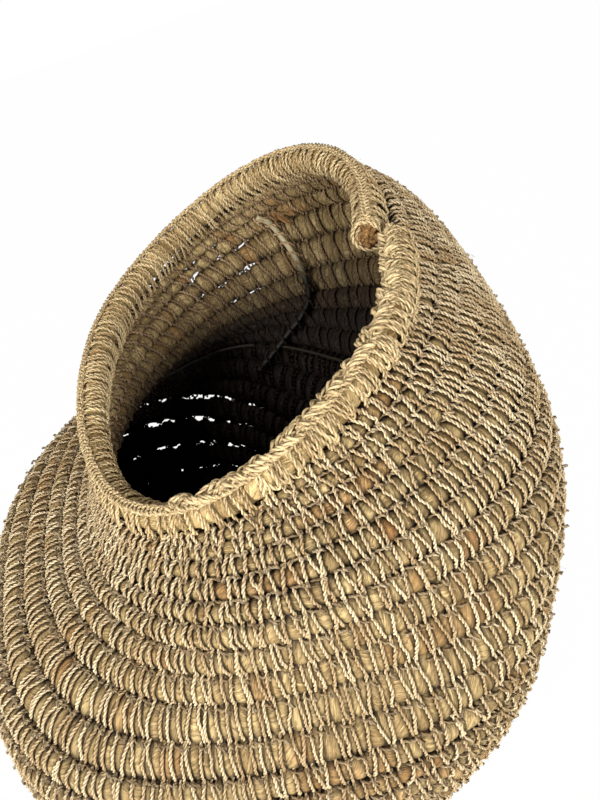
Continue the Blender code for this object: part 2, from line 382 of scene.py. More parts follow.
def attributeParts(tree, name):
    vector = addNode(tree, "Attribute", attribute_name=name).outputs["Vector"]
    return (vector,) + tuple(addNode(tree, "SeparateXYZ", {0: vector}).outputs)


def newGroup(name, inputs, outputs):
    group = bpy.data.node_groups.new(name, "ShaderNodeTree")
    for label, kind, value in inputs:
        socket = group.interface.new_socket(label, in_out="INPUT", socket_type="NodeSocket" + kind)
        if value is not None:
            socket.default_value = value
    for label, kind in outputs:
        group.interface.new_socket(label, in_out="OUTPUT", socket_type="NodeSocket" + kind)
    return group, group.nodes.new("NodeGroupInput"), group.nodes.new("NodeGroupOutput")


# Sun and dust: broad patches over the whole basket where fibres are greyer
def weatherGroup():
    group, source, result = newGroup(
        "basketWeather",
        [("Colour", "Color", None), ("Grey", "Color", None),
         ("Amount", "Float", 0.5), ("Scale", "Float", 14.0)],
        [("Colour", "Color")])
    patches = noiseNode(group, positionOf(group), source.outputs["Scale"], 2.0, 0.5)
    amount = mathNode(group, "MULTIPLY", scaled(group, patches, 2.6, -0.8, True), source.outputs["Amount"])
    worn = mixColour(group, amount, source.outputs["Colour"], source.outputs["Grey"])
    group.links.new(worn, result.inputs["Colour"])
    return group


# Fine fibres: streaks along a strand or leaf, and the thin lines between folds that the leaf finish darkens as painted
# shade
def fibreGroup():
    group, source, result = newGroup(
        "plantFibre",
        [("Vector", "Vector", None), ("Scale", "Float", 1.0)],
        [("Streak", "Float"), ("Line", "Float"), ("Height", "Float")])
    grain = noiseNode(group, source.outputs["Vector"], source.outputs["Scale"], 3.0, 0.6)
    near = mathNode(group, "ABSOLUTE", mathNode(group, "SUBTRACT", grain, 0.5))
    line = scaled(group, near, -22.0, 1.0, True)
    group.links.new(scaled(group, grain, 2.6, -0.8, True), result.inputs["Streak"])
    group.links.new(line, result.inputs["Line"])
    group.links.new(scaled(group, line, -0.35, grain), result.inputs["Height"])
    return group


weather = weatherGroup()
fibre = fibreGroup()


def groupNode(tree, group, **values):
    return addNode(tree, "Group", values, node_tree=group)


# The finish gives a colour, a mask of painted shade and a relief; weather, painted shade and relief are put on alike
# for all
def finishMaterial(name, look):
    look = {key: linear(value) if key in colourKeys else value for key, value in look.items()}
    look = {**(twineCommon if "valleyShade" in look else leafCommon), **look}
    material = bpy.data.materials.new(name)
    material.use_nodes = True
    tree = material.node_tree
    shader = tree.nodes["Principled BSDF"]
    shader.inputs["Roughness"].default_value = look["roughness"]
    shader.inputs["Specular IOR Level"].default_value = 0.3
    fresh, shade, height = look["finish"](tree, look)
    worn = groupNode(tree, weather, Colour=fresh, Grey=look["grey"], Amount=look["weather"],
                     Scale=look["patches"]).outputs["Colour"]
    tree.links.new(mixColour(tree, shade, worn, look["shade"], "MULTIPLY"), shader.inputs["Base Color"])
    bump = addNode(tree, "Bump", {"Strength": look["bump"], "Distance": look["relief"], "Height": height})
    tree.links.new(bump.outputs["Normal"], shader.inputs["Normal"])
    return material


# Twine: pale crests, painted shade where the plies meet, tint changing from stitch to stitch
def twineFinish(tree, look):
    _, shade, ply, tint = attributeParts(tree, "strand")
    place = positionOf(tree)
    fine = groupNode(tree, fibre, Vector=place, Scale=900.0)
    tone = scaled(tree, tint, 0.5, mathNode(tree, "MULTIPLY", noiseNode(tree, place, 120.0, 2.0), 0.5))
    tone = mathNode(tree, "ADD", tone, scaled(tree, fine.outputs["Streak"], 0.4, -0.2))
    base = mixColour(tree, scaled(tree, tone, 1.6, -0.3, True), look["dark"], look["light"])
    plyShaded = mixColour(tree, mathNode(tree, "POWER", ply, 0.6), look["valleyShade"], base)
    return plyShaded, shade, fine.outputs["Height"]


# Leaf: strips laid aslant at a different angle in every pod, creased with painted shade in the creases, some pods
# browner than others
def leafFinish(tree, look):
    leaf, _, _, pod = attributeParts(tree, "leaf")
    _, bright, brown, shade = attributeParts(tree, "tone")
    turn = {"Vector": leaf, "Angle": scaled(tree, pod, 2.0, look["turn"])}
    turned = addNode(tree, "VectorRotate", turn, rotation_type="Z_AXIS").outputs[0]
    veins, folds = [groupNode(tree, fibre, Scale=1.0, Vector=addNode(
        tree, "Mapping", {"Scale": look[key], "Vector": turned}).outputs[0]).outputs for key in ("veins", "folds")]
    crumple = noiseNode(tree, positionOf(tree), 300.0, 3.0)
    value = scaled(tree, veins["Streak"], 0.30, mathNode(tree, "MULTIPLY", folds["Streak"], 0.35))
    value = scaled(tree, crumple, 0.3, scaled(tree, bright, 0.55, value))
    pale = mixColour(tree, scaled(tree, value, 1.25, -0.45, True), look["dark"], look["light"])
    mixed = mixColour(tree, mathNode(tree, "MULTIPLY", brown, look["brownShare"]), pale, look["brown"])
    lines = scaled(tree, folds["Line"], 0.45, mathNode(tree, "MULTIPLY", veins["Line"], 0.25), True)
    lined = mixColour(tree, lines, mixed, look["creaseShade"])
    height = scaled(tree, folds["Height"], 0.8, mathNode(tree, "MULTIPLY", veins["Height"], 0.4))
    return lined, shade, scaled(tree, crumple, 0.3, height)


twineCommon = {"finish": twineFinish, "relief": 0.0004, "patches": 11.0, "bump": 0.5}
leafCommon = {"finish": leafFinish, "relief": 0.0012, "patches": 16.0}
colourKeys = ("dark", "light", "valleyShade", "grey", "shade", "brown", "creaseShade")
# In each finish, shade is the colour that painted shade multiplies towards
finishes = {
    # The valley colour is painted shade where the plies meet
    "strawTwine": {"roughness": 0.75, "weather": 0.35, "dark": (0.69, 0.58, 0.42), "light": (0.97, 0.91, 0.77),
                   "valleyShade": (0.28, 0.16, 0.05), "grey": (0.68, 0.59, 0.44), "shade": (0.22, 0.13, 0.06)},
    # Inner twine: the straw twine in darker colours, as painted shade inside the basket
    "shadedInnerTwine": {"roughness": 0.85, "weather": 0.4, "dark": (0.52, 0.42, 0.30), "light": (0.82, 0.70, 0.54),
                   "valleyShade": (0.24, 0.15, 0.07), "grey": (0.44, 0.37, 0.31), "shade": (0.22, 0.17, 0.13)},
    "rimTwine": {"roughness": 0.7, "weather": 0.4, "dark": (0.62, 0.52, 0.36), "light": (0.94, 0.86, 0.68),
                 "valleyShade": (0.34, 0.21, 0.09), "grey": (0.66, 0.57, 0.42), "shade": (0.34, 0.26, 0.17)},
    # The crease colour is painted shade in the folds of the leaf
    "leafCore": {"roughness": 0.6, "weather": 0.3, "dark": (0.52, 0.41, 0.24), "light": (0.91, 0.81, 0.59),
                 "brown": (0.68, 0.45, 0.22), "creaseShade": (0.27, 0.15, 0.05), "grey": (0.62, 0.53, 0.36),
                 "shade": (0.13, 0.08, 0.035), "brownShare": 0.6, "turn": -0.5, "bump": 1.0,
                 "veins": (160.0, 1100.0, 37.0), "folds": (60.0, 360.0, 19.0)},
    "endLeaf": {"roughness": 0.7, "weather": 0.3, "dark": (0.36, 0.24, 0.12), "light": (0.78, 0.62, 0.40),
                "brown": (0.56, 0.37, 0.18), "creaseShade": (0.24, 0.15, 0.08), "grey": (0.56, 0.45, 0.30),
                "shade": (0.22, 0.17, 0.12), "brownShare": 0.8, "turn": 0.0, "bump": 0.8,
                "veins": (120.0, 900.0, 20.0), "folds": (60.0, 300.0, 15.0)},
    "splitCane": {"roughness": 0.45, "weather": 0.4, "dark": (0.56, 0.52, 0.40), "light": (0.86, 0.82, 0.68),
                  "brown": (0.42, 0.34, 0.22), "creaseShade": (0.30, 0.26, 0.17), "grey": (0.52, 0.48, 0.38),
                  "shade": (0.05, 0.035, 0.02), "brownShare": 0.4, "turn": 0.0, "bump": 0.4,
                  "veins": (30.0, 900.0, 20.0), "folds": (12.0, 200.0, 15.0)},
}
materials = {name: finishMaterial(name, look) for name, look in finishes.items()}
print("materials ready")

# Where the stitches cross the coil; legs of neighbouring stitches lean together in pairs
stitch = {"perLap": 180.56, "radius": 0.00094, "baseSpacing": 0.0062, "jitter": 0.15, "leanJitter": 0.19,
          "firstFoot": -0.308, "firstHead": 0.132, "secondFoot": 0.164, "secondHead": -0.132}


def stitchLaps():
    laps = [0.6]
    while laps[-1] < shape["baseLaps"] - 0.01:
        around = 2 * math.pi * shape["baseRadius"] * laps[-1] / shape["baseLaps"]
        laps.append(laps[-1] + stitch["baseSpacing"] / around)
    wall = shape["baseLaps"] + np.arange(shape["wallLaps"] * stitch["perLap"]) / stitch["perLap"]
    return np.concatenate([np.array(laps[:-1]), wall])


allStitches = stitchLaps()
stitchStep = np.gradient(allStitches)
stitchPlace = allStitches + rng.normal(0, stitch["jitter"], len(allStitches)).clip(-0.3, 0.3) * stitchStep
tableLength = len(allStitches) + 4
footJitter = rng.normal(0, stitch["leanJitter"], tableLength)
headJitter = rng.normal(0, stitch["leanJitter"], tableLength)


def legEnd(index, firstPlace, secondPlace, jitter):
    return np.where(index % 2 == 1, stitch[firstPlace], stitch[secondPlace]) + jitter[index]


# Distance along the row from a stitch's own place to its leg; rise is -1 at the foot and 1 at the head
def outerOffset(index, rise, spacing, ahead=0):
    foot = ahead + legEnd(index + ahead, "firstFoot", "secondFoot", footJitter)
    head = legEnd(index, "firstHead", "secondHead", headJitter)
    return spacing * (foot + (head - foot) * (rise + 1) / 2)


def innerOffset(index, rise, spacing):
    return outerOffset(index, rise, spacing, 1)


# The sunk value, with foot and head shade, is painted shade on the ends of the outer legs where they go down into the
# grooves
legs = {"lift": 0.45, "tailReach": 0.50, "tailDrop": 0.0017, "rings": 28, "lowRings": 20, "innerRings": 12,
        "neckRings": 20, "lowLap": 14.0, "neckLap": 22.0, "wobble": 0.0003, "straight": 0.7,
        "straightLaps": (23.2, 25.4), "sunkShade": 0.8, "footShade": 0.26, "headShade": 0.82, "innerThick": 1.42}
# The cavity strength is painted shade beside the legs and along the grooves; the dark laps set where painted shade
# deep inside begins and how far it deepens
core = {"halfDepth": 0.0057, "sides": 20, "gap": -0.0010, "gapNoise": 0.0005, "square": 1.22,
        "pinch": 0.27, "pinchWidth": 0.0016, "plump": 0.12, "leastHeight": 0.0035, "depthShare": 0.75,
        "ringPhases": (0.0, 0.14, 0.32, 0.5, 0.68, 0.86), "brownPods": 0.05, "cavityShade": 1.0,
        "darkLap": 27.5, "darkLaps": 4.0}
podPlump = rng.normal(0, 1, tableLength).clip(-2, 2)
podTurn = rng.uniform(0, 1, tableLength)
podBright = rng.uniform(0, 1, tableLength)
podBrown = (rng.uniform(0, 1, tableLength) < core["brownPods"]).astype(float)
podBrown = np.maximum(podBrown, 0.7 * np.roll(podBrown, 1)) * rng.uniform(0.4, 1.0, tableLength)


# Daylight shows between rows where they lie loose: on the far side of the belly and of the neck
loose = {"bellyAngle": 92.0, "bellyWidth": 20.0, "bellyRows": (15.2, 19.2), "bellyGap": 0.0046,
         "neckAngle": 97.0, "neckWidth": 13.0, "neckRows": (25.8, 28.9), "neckGap": 0.0048}


def looseness(lap):
    angle = np.degrees(coilAngle(lap)) % 360
    row = lap + (angle - loose["bellyAngle"]) / 360
    spots = []
    for side in ("belly", "neck"):
        low, high = loose[side + "Rows"]
        spots.append(hump(angle - loose[side + "Angle"], loose[side + "Width"], 4) * ((row > low) & (row < high)))
    return spots


def gapTable():
    lap = np.arange(0.0, 31.01, 0.001)
    belly, neck = looseness(lap)
    gap = core["gap"]
    for spacing in (0.03, 0.11):
        gap = gap + core["gapNoise"] * smoothNoise(lap, spacing, 0, 1)
    gap = gap + loose["bellyGap"] * belly * smoothStep(smoothNoise(lap, 0.0045, 0, 1), 0.35, 0.62)
    holes = smoothStep(smoothNoise(lap, 0.008, 0, 1), 0.62, 0.85)
    return lap, gap + loose["neckGap"] * neck * holes


gapLaps, gapValues = gapTable()


def rowGap(lap):
    return np.interp(lap, gapLaps, gapValues)


def coreLaps(fromLap, toLap):
    inside = stitchPlace[(stitchPlace > fromLap - 0.05) & (stitchPlace < toLap + 0.05)]
    laps = (inside[:-1, None] + np.diff(inside)[:, None] * np.array(core["ringPhases"])).ravel()
    if fromLap < inside[0]:
        laps = np.concatenate([np.linspace(max(fromLap, 0.05), inside[0], 24)[:-1], laps])
    laps = laps[(laps > fromLap + 0.0004) & (laps < toLap - 0.0004)]
    return np.concatenate([[fromLap], laps, [toLap]])


def nearestLeg(lap, reach, spot, rise, offset, sparse):
    best = np.full((len(lap), len(rise)), 1.0)
    for step in (-2, -1, 0, 1, 2):
        index = (spot + step).clip(0, len(stitchPlace) - 1)
        spacing = stitchStep[index] * reach
        gap = (lap - stitchPlace[index]) * reach
        away = np.abs(gap[:, None] - offset(index[:, None], rise[None, :], spacing[:, None]))
        away = np.where((sparse & (index % 2 == 0))[:, None], 1.0, away)
        best = np.minimum(best, away)
    return best


def depthOf(rows):
    return np.minimum(core["halfDepth"], core["depthShare"] * rows["height"])


def squarish(x):
    return np.sign(x) * np.abs(x) ** core["square"]


# Painted shade deep inside the basket: 0 at the mouth and 1 below the neck
def depthShade(lap, least):
    return least + (1 - least) * smoothStep(core["darkLap"] - lap, 0.0, core["darkLaps"])


def coreRun(name, rows, nodes):
    lap = rows["lap"]
    spot = np.searchsorted(stitchPlace, lap, side="right").clip(1, len(stitchPlace) - 1) - 1
    phase = ((lap - stitchPlace[spot]) / np.maximum(stitchPlace[spot + 1] - stitchPlace[spot], 1e-6)).clip(0, 1)
    halfHeight = np.maximum((rows["height"] - rowGap(lap)) / 2, 0.0012)
    halfDepth = depthOf(rows) * np.where(lap < 9.3, 0.94, 1.0)
    phi = circle(core["sides"])
    co, si = np.cos(phi), np.sin(phi)
    outer = nearestLeg(lap, rows["reach"], spot, si, outerOffset, lap < 0)
    inner = nearestLeg(lap, rows["reach"], spot, si, innerOffset, lap > legs["neckLap"])
    away = np.where(co >= 0, outer, inner)
    bulge = np.sin(np.pi * phase) ** 0.7
    lumps = 0.03 * np.sin(3 * phi + 6 * podTurn[spot][:, None]) * bulge[:, None]
    swell = (1.0 - core["pinch"] * hump(away, core["pinchWidth"])
             + core["plump"] * (0.35 + 0.5 * podPlump[spot] * bulge)[:, None] * 0.6 + lumps)
    local = np.stack([halfDepth[:, None] * squarish(co) * swell,
                      halfHeight[:, None] * squarish(si) * np.minimum(0.85 + 0.15 * swell, 1.01),
                      np.zeros_like(swell)], -1)
    leaf = layer(swell.shape, lengthsAlong(rows["middle"])[:, None],
                 np.mod(phi + np.pi / 2, 2 * np.pi) * core["halfDepth"], podTurn[spot][:, None])
    bright = 0.6 * podBright[spot] + 0.4 * smoothNoise(lap, 0.05, 0.0, 1.0)
    streak = smoothStep(smoothNoise(lap, 0.035, 0, 1), 0.80, 0.95) * 0.7
    # Painted shade: on the inner face deep in the basket, beside each leg and along the grooves between rows
    indoors = smoothStep(-co, -0.25, 0.35) * depthShade(lap, 0.30)[:, None]
    cavityShade = 0.75 * hump(away, 1.3 * core["pinchWidth"]) + 0.7 * smoothStep(np.abs(si), 0.45, 0.95)
    tone = layer(swell.shape, bright[:, None], np.maximum(podBrown[spot], streak)[:, None],
                 np.maximum(indoors, core["cavityShade"] * np.minimum(cavityShade, 1.0)))
    makePiece(name, inFrame(rows, local)[None], {"leaf": leaf, "tone": tone}, "leafCore", nodes)


def makeCore(name, fromLap, toLap, nodes):
    rows = coilFrame(coreLaps(fromLap, toLap))
    keep = rows["height"] >= core["leastHeight"]
    edges = np.flatnonzero(np.diff(keep.astype(int))) + 1
    runs = [r for r in np.split(np.arange(len(keep)), edges) if keep[r[0]] and len(r) > 6]
    for number, run in enumerate(runs, start=1):
        label = name if len(runs) == 1 else "%s_%d" % (name, number)
        coreRun(label, pick(rows, run), nodes if number == 1 else ())


coreParts = (("base_core", 0.0, 9.25, ("base_coil",)), ("belly_core_low", 9.25, 12.8, ()),
             ("belly_core_middle", 12.8, 16.4, ()), ("belly_core", 16.4, 20.0, ("belly_coil",)),
             ("shoulder_core", 20.0, 23.0, ("shoulder_coil",)), ("shoulder_core_high", 23.0, 26.0, ()),
             ("neck_core", 26.0, 31.0, ("neck_coil", "short_row_1", "short_row_2", "short_row_3")))
for coreItem in coreParts:
    makeCore(*coreItem)
print("leaf core laid")


# The coil at the places of these stitches, without those where the rim leaves a row no height
def rowsOf(index):
    rows = coilFrame(stitchPlace[index])
    keep = rows["height"] >= core["leastHeight"]
    return index[keep], pick(rows, keep)


# The controls of legs that lie on the row, at these degrees round its section
def legItems(rows, index, degreesList, offset, spacing, straight=0.0, settle=None):
    lift = stitch["radius"] * legs["lift"]
    halfHeight = (rows["height"] - rowGap(rows["lap"])) / 2
    halfDepth = depthOf(rows) + lift
    items = []
    for degrees in degreesList:
        angle = math.radians(degrees)
        x = squarish(math.cos(angle)) * halfDepth
        y = squarish(math.sin(angle)) * (halfHeight + 0.3 * lift)
        if degrees < 100:
            x = x + straight * (halfDepth - x) * 0.9
        if settle:
            x = x + rng.normal(0, settle, len(index)).clip(-0.0002, 0.0006)
        items.append((x, y, offset(index, math.sin(angle), spacing) + rng.normal(0, legs["wobble"], len(index))))
    return items


def outerLegs(rows, index):
    spacing = stitchStep[index] * rows["reach"]
    first = index % 2 == 1
    depth, r, half = depthOf(rows), stitch["radius"], rows["height"] / 2
    straight = legs["straight"] * smoothStep(rows["lap"], *legs["straightLaps"])
    foot = outerOffset(index, -1.0, spacing)
    tail = rng.uniform(0.5, 1.3, len(index)) * (1 - 0.6 * straight)
    flush = depth + r * legs["lift"]
    tailOut = np.where(first, 0.78 * depth + r * 1.5, 0.50 * depth)
    kneeOut = np.where(first, 0.80 * depth + r * 1.9, 0.76 * depth)
    items = [(tailOut + straight * (0.85 * flush - tailOut),
              -half - np.where(first, legs["tailDrop"] * tail, 0.0016) - 0.0008 * straight,
              foot - np.where(first, legs["tailReach"] * tail, 0.05) * spacing),
             (kneeOut + straight * (flush - kneeOut), -half - np.where(first, 0.0007, 0.0010),
              foot - np.where(first, 0.22, 0.02) * (1 - straight) * spacing)]
    return stackControls(items + legItems(rows, index, (-64, -40, -14, 14, 42, 72, 104), outerOffset, spacing,
                                          straight, legs["wobble"] * 0.6))


def innerLegs(rows, index):
    spacing = stitchStep[index] * rows["reach"]
    return stackControls(legItems(rows, index, (78, 104, 134, 164, 196, 226, 256, 282), innerOffset, spacing))


def facingOf(rows, controls, weights):
    radial = unit(rows["out"][:, None, :] * controls[..., 0:1] + rows["up"][:, None, :] * controls[..., 1:2])
    return np.einsum("mk,skc->smc", weights, radial)


def makeStitches(name, fromLap, toLap):
    index, rows = rowsOf(np.flatnonzero((allStitches >= fromLap) & (allStitches < toLap)))
    tint = rng.uniform(0, 1, len(index))
    radius = stitch["radius"] * rng.uniform(0.86, 1.12, len(index))
    low, neck = fromLap < legs["lowLap"], fromLap >= legs["neckLap"]
    outerRings = legs["lowRings"] if low else legs["rings"]
    share = np.linspace(0, 1, outerRings)
    # Painted shade on both ends of each outer leg
    sunkShade = legs["sunkShade"] * (smoothStep(share, legs["footShade"], 0.0) + smoothStep(share, legs["headShade"], 1.0))
    single = index % 2 == 1 if neck else index >= 0
    indoors = pick(rows, single)
    # Inner legs: darker twine, with painted shade that deepens further into the basket
    jobs = [("outer", rows, outerLegs(rows, index), outerRings, radius, tint, "strawTwine",
             "plain" if low else "fine", sunkShade[None]),
            ("inner", indoors, innerLegs(indoors, index[single]), legs["neckRings" if neck else "innerRings"],
             radius[single] * legs["innerThick"], tint[single], "shadedInnerTwine",
             "fine" if neck else "coarse", depthShade(indoors["lap"], 0.25))]
    for side, own, controls, rings, thick, tints, material, kind, shade in jobs:
        weights = curveWeights(controls.shape[1], rings)
        paths = inFrame(own, np.einsum("mk,skc->smc", weights, controls))
        twinePiece("%s_%s" % (name, side), paths, facingOf(own, controls, weights), thick, tints, material, kind,
                   1.0, shade)


# The thread in the groove under each row: a short piece that rises between the pairs of legs, then dives
groove = {"rings": 9, "radius": 0.00080, "depth": 0.66, "out": 0.0013, "dive": 0.0012, "rise": 0.0017,
          "length": 1.35, "leastLap": 1.0}


def makeChain(name, fromLap, toLap):
    inRange = np.flatnonzero((allStitches >= max(fromLap, groove["leastLap"])) & (allStitches < toLap))
    index, rows = rowsOf(inRange[inRange % 2 == 1])
    count = len(index)
    spacing = stitchStep[index] * rows["reach"]
    depth = depthOf(rows) * groove["depth"]
    shift = rng.normal(0, 0.12, count)
    size = groove["length"] * rng.uniform(0.8, 1.15, count)
    opened = (rowGap(rows["lap"]) / 2 + 0.0003) * np.maximum(*looseness(rows["lap"]))
    items = []
    for step in (0.0, 0.2, 0.4, 0.6, 0.8, 1.0):
        x = depth - groove["dive"] + (groove["out"] + groove["dive"]) * math.sin(math.pi * step)
        y = -rows["height"] / 2 + groove["rise"] * (step - 0.5) + rng.normal(0, 0.00018, count) + opened
        items.append((x, y, spacing * (shift + size * (step - 0.5))))
    weights = curveWeights(len(items), groove["rings"])
    paths = inFrame(rows, np.einsum("mk,skc->smc", weights, stackControls(items)))
    radius = groove["radius"] * rng.uniform(0.85, 1.2, count)
    # The groove thread gets painted shade
    twinePiece(name, paths, rows["out"][:, None, :], radius, rng.uniform(0, 0.6, count), "strawTwine", shade=0.45)


sectionEdges = (0.0, 9.25, 11.6, 14.0, 16.0, 18.0, 20.0, 22.0, 24.0, 26.0, 28.0, 31.0)
for fromLap, toLap in zip(sectionEdges[:-1], sectionEdges[1:]):
    label = "%02d" % round(fromLap)
    makeStitches("stitches_" + label, fromLap, toLap)
    makeChain("groove_thread_" + label, fromLap, toLap)
print("stitches sewn")

# Rim: a leaf bundle sewn over in pairs, its end left open on the right, with a plait along the outer edge
rim = {"coreRadius": 0.0066, "sides": 20, "wrapRadius": 0.00108, "rings": 48, "pairPitch": 0.0072,
       "tightPitch": 0.0057, "tightAngle": 75.0, "tightWidth": 55.0, "pairSpread": 0.28, "lean": 0.0014,
       "ridgeTurn": -2.2, "outerDrop": 0.0058, "innerDrop": 0.0085, "gap": 0.008, "endGap": 0.003,
       "endAngle": 347.6, "endLift": 0.0058, "endInward": 0.0028, "liftAngle": 17.0, "nearDrop": 0.0042,
       "nearOut": 0.0032, "nearAngle": 48.0, "frontMiddle": 280.0, "frontAngle": 62.0, "frontDrop": -0.0026,
       "frontSink": 0.0022}


# Degrees from one bearing to another, between -180 and 180
def degreesFrom(degrees, middle):
    return (degrees - middle + 180.0) % 360.0 - 180.0


def frontShare(degrees):
    return hump(degreesFrom(degrees, rim["frontMiddle"]), rim["frontAngle"], 4)


def rimFrame(angle):
    centre, tangent = rimLine(angle)
    share = (topLap(angle) - shape["baseLaps"]) / shape["wallLaps"]
    down = squared(wallPoint(share, angle) - centre, tangent)
    side = np.cross(tangent, down)
    degrees = np.degrees(angle)
    lift = hump(np.mod(degrees - rim["endAngle"], 360.0), rim["liftAngle"])[..., None]
    near = hump(np.mod(rim["endAngle"] - degrees, 360.0), rim["nearAngle"], 4)[..., None]
    middle = centre - down * (rim["endLift"] * lift - rim["nearDrop"] * near)
    middle = middle + side * (rim["endInward"] * lift - rim["nearOut"] * near)
    middle = middle + down * (rim["frontSink"] * frontShare(degrees))[..., None]
    return {"middle": middle, "along": tangent, "down": down, "side": side}


def rimSpan(gap, count):
    half = gap / 2 / shape["mouthRadius"]
    end = math.radians(rim["endAngle"])
    return np.linspace(end + half, end + 2 * math.pi - half, count)


def pairAngles():
    start, end = rimSpan(rim["gap"], 2)
    angles = [start]
    while angles[-1] < end:
        tight = hump(degreesFrom(math.degrees(angles[-1]), rim["tightAngle"]), rim["tightWidth"])
        pitch = rim["pairPitch"] + (rim["tightPitch"] - rim["pairPitch"]) * tight
        angles.append(angles[-1] + pitch / shape["mouthRadius"])
    return np.array(angles[:-1])


rimPairs = pairAngles()


# Turn 0 points down into the wall, and a quarter turn points in across the rim
def rimDirections(place, turn):
    return place["down"][:, None, :] * np.cos(turn)[..., None] + place["side"][:, None, :] * np.sin(turn)[..., None]


def makeRimCore():
    phases = np.array([0.0, 0.2, 0.4, 0.6, 0.8])
    inner = (rimPairs[:-1, None] + np.diff(rimPairs)[:, None] * phases).ravel()
    start, end = rimSpan(rim["endGap"], 2)
    angle = np.concatenate([[start], inner[inner > start + 0.004], [end]])
    place = rimFrame(angle)
    spot = np.searchsorted(rimPairs, angle, side="right").clip(1, len(rimPairs) - 1) - 1
    phase = ((angle - rimPairs[spot]) / (rimPairs[spot + 1] - rimPairs[spot])).clip(0, 1)
    phi = circle(rim["sides"])
    pinch = 0.10 * hump(np.minimum(phase, 1 - phase), 0.16)
    pod = podTurn[spot][:, None]
    radius = rim["coreRadius"] * (1 - pinch[:, None] + 0.05 * np.sin(3 * phi + 9 * pod)
                                  + 0.03 * np.sin(5 * phi + 5 * pod))
    points = moved(place["middle"], (place["down"], radius * np.cos(phi)), (place["side"], radius * np.sin(phi)))
    leaf = layer(radius.shape, (angle * shape["mouthRadius"])[:, None], phi * rim["coreRadius"], pod)
    # Painted shade on the inner side of the rim bundle
    tone = layer(radius.shape, podBright[spot][:, None], podBrown[spot][:, None],
                 smoothStep(np.sin(phi), 0.2, 1.0) * 0.25)
    makePiece("rim_bundle", points[None], {"leaf": leaf, "tone": tone}, "leafCore", ("rim_core",))


def makeWraps():
    count = 2 * len(rimPairs)
    sign = np.tile([-1.0, 1.0], len(rimPairs))
    pitch = np.repeat(np.gradient(rimPairs), 2) * shape["mouthRadius"]
    angle = np.repeat(rimPairs, 2) + rng.normal(0, 0.0032, count)
    place = rimFrame(angle)
    turn = np.broadcast_to(rim["ridgeTurn"] + 2 * np.pi * np.linspace(0, 1, rim["rings"]), (count, rim["rings"]))
    stack = rim["wrapRadius"] * (0.75 + 0.35 * rng.normal(0, 1, (count, 1)).clip(-1.2, 1.8))
    stack = rim["coreRadius"] * 0.97 + stack
    fall = np.maximum(np.cos(turn), 0) ** 1.5
    drop = rim["outerDrop"] + (rim["innerDrop"] - rim["outerDrop"]) * smoothStep(np.sin(turn), -0.3, 0.6)
    drop = drop + rim["frontDrop"] * frontShare(np.degrees(angle))[:, None] * smoothStep(-np.sin(turn), -0.2, 0.5)
    drop = drop * rng.uniform(0.75, 1.1, (count, 1)) * fall
    apart = np.clip(0.35 + 0.8 * np.cos((turn - 1.2) / 2) ** 2, 0, 1.2)
    slide = sign[:, None] * rim["pairSpread"] * pitch[:, None] * apart
    slide = slide - rim["lean"] * np.cos(turn / 2) + rng.normal(0, 0.0007, (count, 1)) * np.sin(turn)
    for swing, waves in ((0.0006, 1.5), (0.00035, 4)):
        slide = slide + swing * np.sin(waves * turn + rng.uniform(0, 6, (count, 1)))
    outward = rimDirections(place, turn)
    paths = moved(place["middle"], (outward, stack), (place["down"], drop), (place["along"], slide))
    radius = rim["wrapRadius"] * rng.uniform(0.85, 1.15, count)
    twinePiece("rim_wraps", paths, outward, radius, rng.uniform(0, 1, count), "rimTwine", "fine", 1.25,
               nodes=("rim_wrapping",))


plait = {"strands": 4, "pitch": 0.0115, "swing": 0.26, "radius": 0.00105, "lift": 2.2,
         "nearStrands": 8, "nearPitch": 0.024, "nearSwing": 0.42, "nearRadius": 0.00125, "nearTurn": -2.55,
         "nearLift": 0.0026, "nearFrom": 240.0, "nearTo": 343.0}


def plaitPaths(angle, strands, pitch, swing, turnMiddle, lift, mess):
    place = rimFrame(angle)
    distance = angle * shape["mouthRadius"]
    paths, facing = [], []
    for strand in range(strands):
        own = 2 * np.pi * (distance / (pitch * (1 + 0.25 * mess * math.sin(strand * 2.3))) + strand / strands)
        own = own + 1.2 * mess * smoothNoise(distance, 0.013)
        turn = turnMiddle + swing * np.sin(own) + (0.05 + 0.14 * mess) * smoothNoise(distance, 0.007)
        height = lift + 0.0008 * (1 + mess) * np.sin(2 * own) + 0.0003 * (1 + mess) * smoothNoise(distance, 0.004)
        outward = rimDirections(place, turn[:, None])[:, 0, :]
        slide = 0.0006 * mess * smoothNoise(distance, 0.005)
        paths.append(moved(place["middle"], (outward, rim["coreRadius"] + height), (place["along"], slide)))
        facing.append(outward)
    return np.array(paths), np.array(facing)


def makePlaits():
    paths, facing = plaitPaths(rimSpan(rim["gap"], 1000), plait["strands"], plait["pitch"], plait["swing"],
                               rim["ridgeTurn"], rim["wrapRadius"] * plait["lift"], 0.0)
    twinePiece("rim_plait", paths, facing, plait["radius"], [0.6, 0.9, 0.7, 0.8], "rimTwine")
    angle = np.radians(np.linspace(plait["nearFrom"], plait["nearTo"], 560))
    paths, facing = plaitPaths(angle, plait["nearStrands"], plait["nearPitch"], plait["nearSwing"],
                               plait["nearTurn"], plait["nearLift"], 1.0)
    radius = plait["nearRadius"] * rng.uniform(0.75, 1.15, plait["nearStrands"])
    twinePiece("near_rim_braid", paths, facing, radius, rng.uniform(0.6, 1, plait["nearStrands"]),
               "rimTwine", "fine", 2.4)


# Loops that hook the near part of the rim over the first row
hook = {"spacing": 0.0058, "from": 262.0, "to": 345.0, "turn": -2.5, "spread": 0.0028, "reach": 0.0022,
        "radius": 0.00105}


